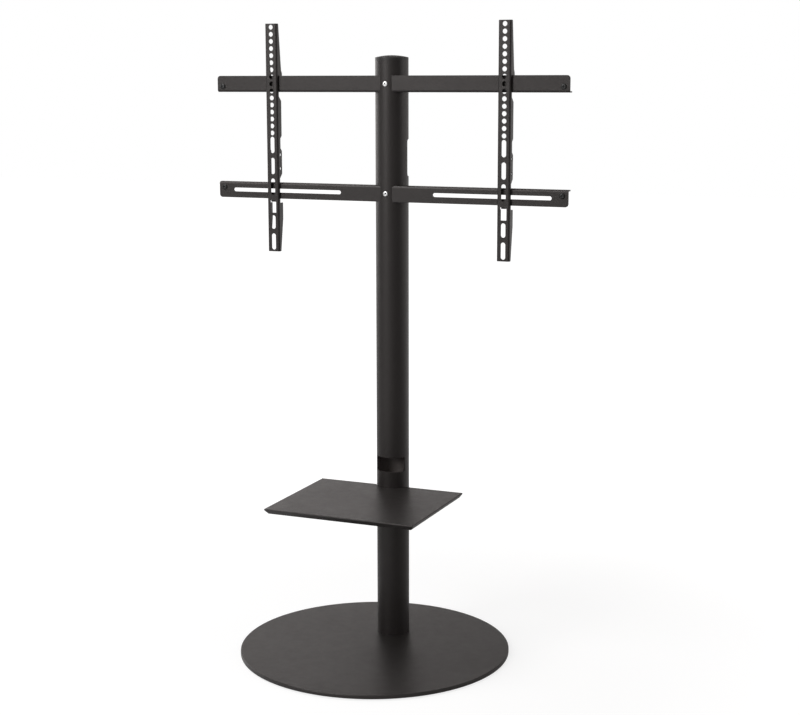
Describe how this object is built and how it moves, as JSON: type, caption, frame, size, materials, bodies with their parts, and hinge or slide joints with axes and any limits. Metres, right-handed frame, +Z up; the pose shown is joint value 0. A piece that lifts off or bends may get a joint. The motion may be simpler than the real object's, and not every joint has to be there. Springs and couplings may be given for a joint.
{
  "type": "tv floor stand",
  "caption": "Free-standing TV floor stand: round steel base, round column with cable windows, media shelf, and cross rails carrying sliding hook-on mounting arms.",
  "frame": {"origin": "on the floor under the centre of the round base", "axes": "+Z up, +Y to the rear (the column's side), +X to the right as seen from the front"},
  "size_m": [0.716, 0.52, 1.1995],
  "materials": {
    "powder_coat": "satin black powder coat",
    "cap_plastic": "moulded black, satin",
    "pad_rubber": "black, matt",
    "bright_screws": "bright steel",
    "black_screws": "blackened steel",
    "zinc_steel": "zinc plated"
  },
  "bodies": {
    "stand": {"base_plate": "powder_coat", "column_tube": "powder_coat", "upper_rail": "powder_coat", "lower_rail": "powder_coat", "shelf_tray": "powder_coat", "shelf_bracket": "powder_coat", "column_cap": "cap_plastic", "base_pads": "pad_rubber", "upper_rail_screw": "bright_screws", "lower_rail_screw": "bright_screws", "upper_rail_stops": "black_screws", "lower_rail_stops": "black_screws", "base_bolts": "zinc_steel", "column_foot": "zinc_steel", "upper_rail_nut": "zinc_steel", "lower_rail_nut": "zinc_steel", "shelf_studs": "zinc_steel", "shelf_nuts": "zinc_steel", "bracket_screws": "zinc_steel", "bracket_nuts": "zinc_steel"},
    "left_arm": {"left_arm": "powder_coat"},
    "right_arm": {"right_arm": "powder_coat"}
  },
  "joints": [
    {"name": "left_arm_slide", "type": "slide", "parent": "stand", "child": "left_arm", "axis": [1, 0, 0], "range_m": [-0.0915, 0.1915]},
    {"name": "right_arm_slide", "type": "slide", "parent": "stand", "child": "right_arm", "axis": [1, 0, 0], "range_m": [-0.1915, 0.0915]}
  ]
}
